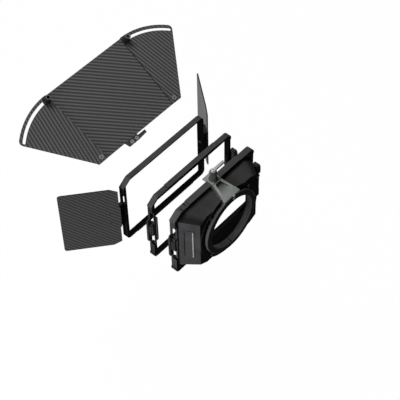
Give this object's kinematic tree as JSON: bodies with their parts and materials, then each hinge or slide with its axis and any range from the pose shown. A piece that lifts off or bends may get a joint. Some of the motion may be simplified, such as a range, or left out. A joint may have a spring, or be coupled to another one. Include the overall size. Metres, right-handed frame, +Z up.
{
  "type": "matte box",
  "caption": "Lens-clamp matte box drawn apart: tapered rear hood with clamp ring, filter stage, front frame with side flags, and a top flag with fold-out wings.",
  "frame": {"origin": "middle of the lens clamp's bore at its rear face", "axes": "+Y along the lens axis towards the camera, -Y towards the scene, +Z up, +X to the operator's left"},
  "size_m": [0.2878, 0.2563, 0.1862],
  "materials": {
    "frame_metal": "black hard-anodised, satin",
    "hood_plastic": "fine-textured glass-filled nylon, matte",
    "plate_plastic": "smooth satin insert plate, dark grey",
    "ring_metal": "black anodised, turned",
    "seal_rubber": "soft black rubber",
    "bracket_metal": "grey-green hard-anodised, bead blasted",
    "steel": "bare stainless steel",
    "black_steel": "black oxide",
    "latch_plastic": "black glass-filled nylon",
    "carbon": "2 by 2 twill carbon-fibre laminate, clear satin resin",
    "hinge_plastic": "black acetal",
    "nut_plastic": "black moulded thumb nut"
  },
  "bodies": {
    "body": {"body_flange": "frame_metal", "hood_shell": "hood_plastic", "rear_plate": "hood_plastic", "side_plate_left": "plate_plastic", "side_plate_right": "plate_plastic", "lens_ring": "ring_metal", "light_seal": "seal_rubber", "ring_screws": "black_steel", "flange_screws": "black_steel", "holder_bracket": "bracket_metal", "bracket_screws": "steel", "ring_catch": "bracket_metal", "body_latch_pin": "steel", "body_catch": "latch_plastic", "body_catch_screws": "black_steel", "body_toggle_pin": "steel"},
    "clamp_lever": {"lever_hub": "bracket_metal", "lever_arm": "bracket_metal", "lever_screw": "steel"},
    "body_latch": {"body_latch": "latch_plastic"},
    "body_toggle": {"body_toggle": "latch_plastic"},
    "filter_stage": {"stage_frame": "frame_metal", "guide_left": "hood_plastic", "guide_right": "hood_plastic", "guide_screws": "black_steel", "stage_latch_pin": "steel", "stage_catch": "latch_plastic", "stage_catch_screws": "black_steel", "stage_toggle_pin": "steel"},
    "stage_latch": {"stage_latch": "latch_plastic"},
    "stage_toggle": {"stage_toggle": "latch_plastic"},
    "front_stage": {"front_frame": "frame_metal", "hinge_block_left": "hinge_plastic", "hinge_block_right": "hinge_plastic", "hinge_pin_left": "steel", "hinge_pin_right": "steel", "hinge_screws": "black_steel"},
    "side_flag_left": {"side_flag_left": "carbon", "flag_clip_left": "hinge_plastic", "clip_rivets_left": "black_steel"},
    "side_flag_right": {"side_flag_right": "carbon", "flag_clip_right": "hinge_plastic", "clip_rivets_right": "black_steel"},
    "top_flag": {"flag_panel": "carbon", "flag_foot": "frame_metal", "foot_screws": "steel", "pivot_rivets": "steel", "nut_studs": "steel"},
    "wing_left": {"wing_left": "carbon"},
    "wing_right": {"wing_right": "carbon"},
    "nut_left": {"thumb_nut_left": "nut_plastic"},
    "nut_right": {"thumb_nut_right": "nut_plastic"}
  },
  "joints": [
    {"name": "filter_stage_slide", "type": "slide", "parent": "body", "child": "filter_stage", "axis": [0, 1, 0], "range_m": [0, 0.0294]},
    {"name": "front_stage_slide", "type": "slide", "parent": "filter_stage", "child": "front_stage", "axis": [0, 1, 0], "range_m": [0, 0.0399]},
    {"name": "top_flag_slide", "type": "slide", "parent": "body", "child": "top_flag", "axis": [0, 1, 0], "range_m": [0, 0.11]},
    {"name": "clamp_lever_turn", "type": "hinge", "parent": "body", "child": "clamp_lever", "pos_m": [0, -0.0316, 0.07], "axis": [0, 0, 1], "range_deg": [-110, 10]},
    {"name": "body_latch_turn", "type": "hinge", "parent": "body", "child": "body_latch", "pos_m": [0.0758, -0.0326, 0], "axis": [0, 0, 1], "range_deg": [0, 25]},
    {"name": "body_toggle_turn", "type": "hinge", "parent": "body", "child": "body_toggle", "pos_m": [-0.0807, -0.0255, 0.001], "axis": [0, 1, 0], "range_deg": [0, 60]},
    {"name": "stage_latch_turn", "type": "hinge", "parent": "filter_stage", "child": "stage_latch", "pos_m": [0.0758, -0.07, 0], "axis": [0, 0, 1], "range_deg": [0, 25]},
    {"name": "stage_toggle_turn", "type": "hinge", "parent": "filter_stage", "child": "stage_toggle", "pos_m": [-0.0807, -0.0645, 0.001], "axis": [0, 1, 0], "range_deg": [0, 60]},
    {"name": "left_flag_hinge", "type": "hinge", "parent": "front_stage", "child": "side_flag_left", "pos_m": [0.0828, -0.119, 0], "axis": [0, 0, 1], "range_deg": [-48, 38]},
    {"name": "right_flag_hinge", "type": "hinge", "parent": "front_stage", "child": "side_flag_right", "pos_m": [-0.0828, -0.119, 0], "axis": [0, 0, -1], "range_deg": [-37, 49]},
    {"name": "left_wing_fold", "type": "hinge", "parent": "top_flag", "child": "wing_left", "pos_m": [0.0695, -0.16032, 0.0679], "axis": [0, 0.4772, 0.8788], "range_deg": [-39, 0]},
    {"name": "right_wing_fold", "type": "hinge", "parent": "top_flag", "child": "wing_right", "pos_m": [-0.0695, -0.16032, 0.0679], "axis": [0, 0.4772, 0.8788], "range_deg": [0, 39]},
    {"name": "left_nut_spin", "type": "hinge", "parent": "top_flag", "child": "nut_left", "pos_m": [0.0739, -0.24739, 0.11859], "axis": [0, 0.4772, 0.8788], "range_deg": [-180, 180]},
    {"name": "right_nut_spin", "type": "hinge", "parent": "top_flag", "child": "nut_right", "pos_m": [-0.0739, -0.24739, 0.11859], "axis": [0, 0.4772, 0.8788], "range_deg": [-180, 180]}
  ]
}
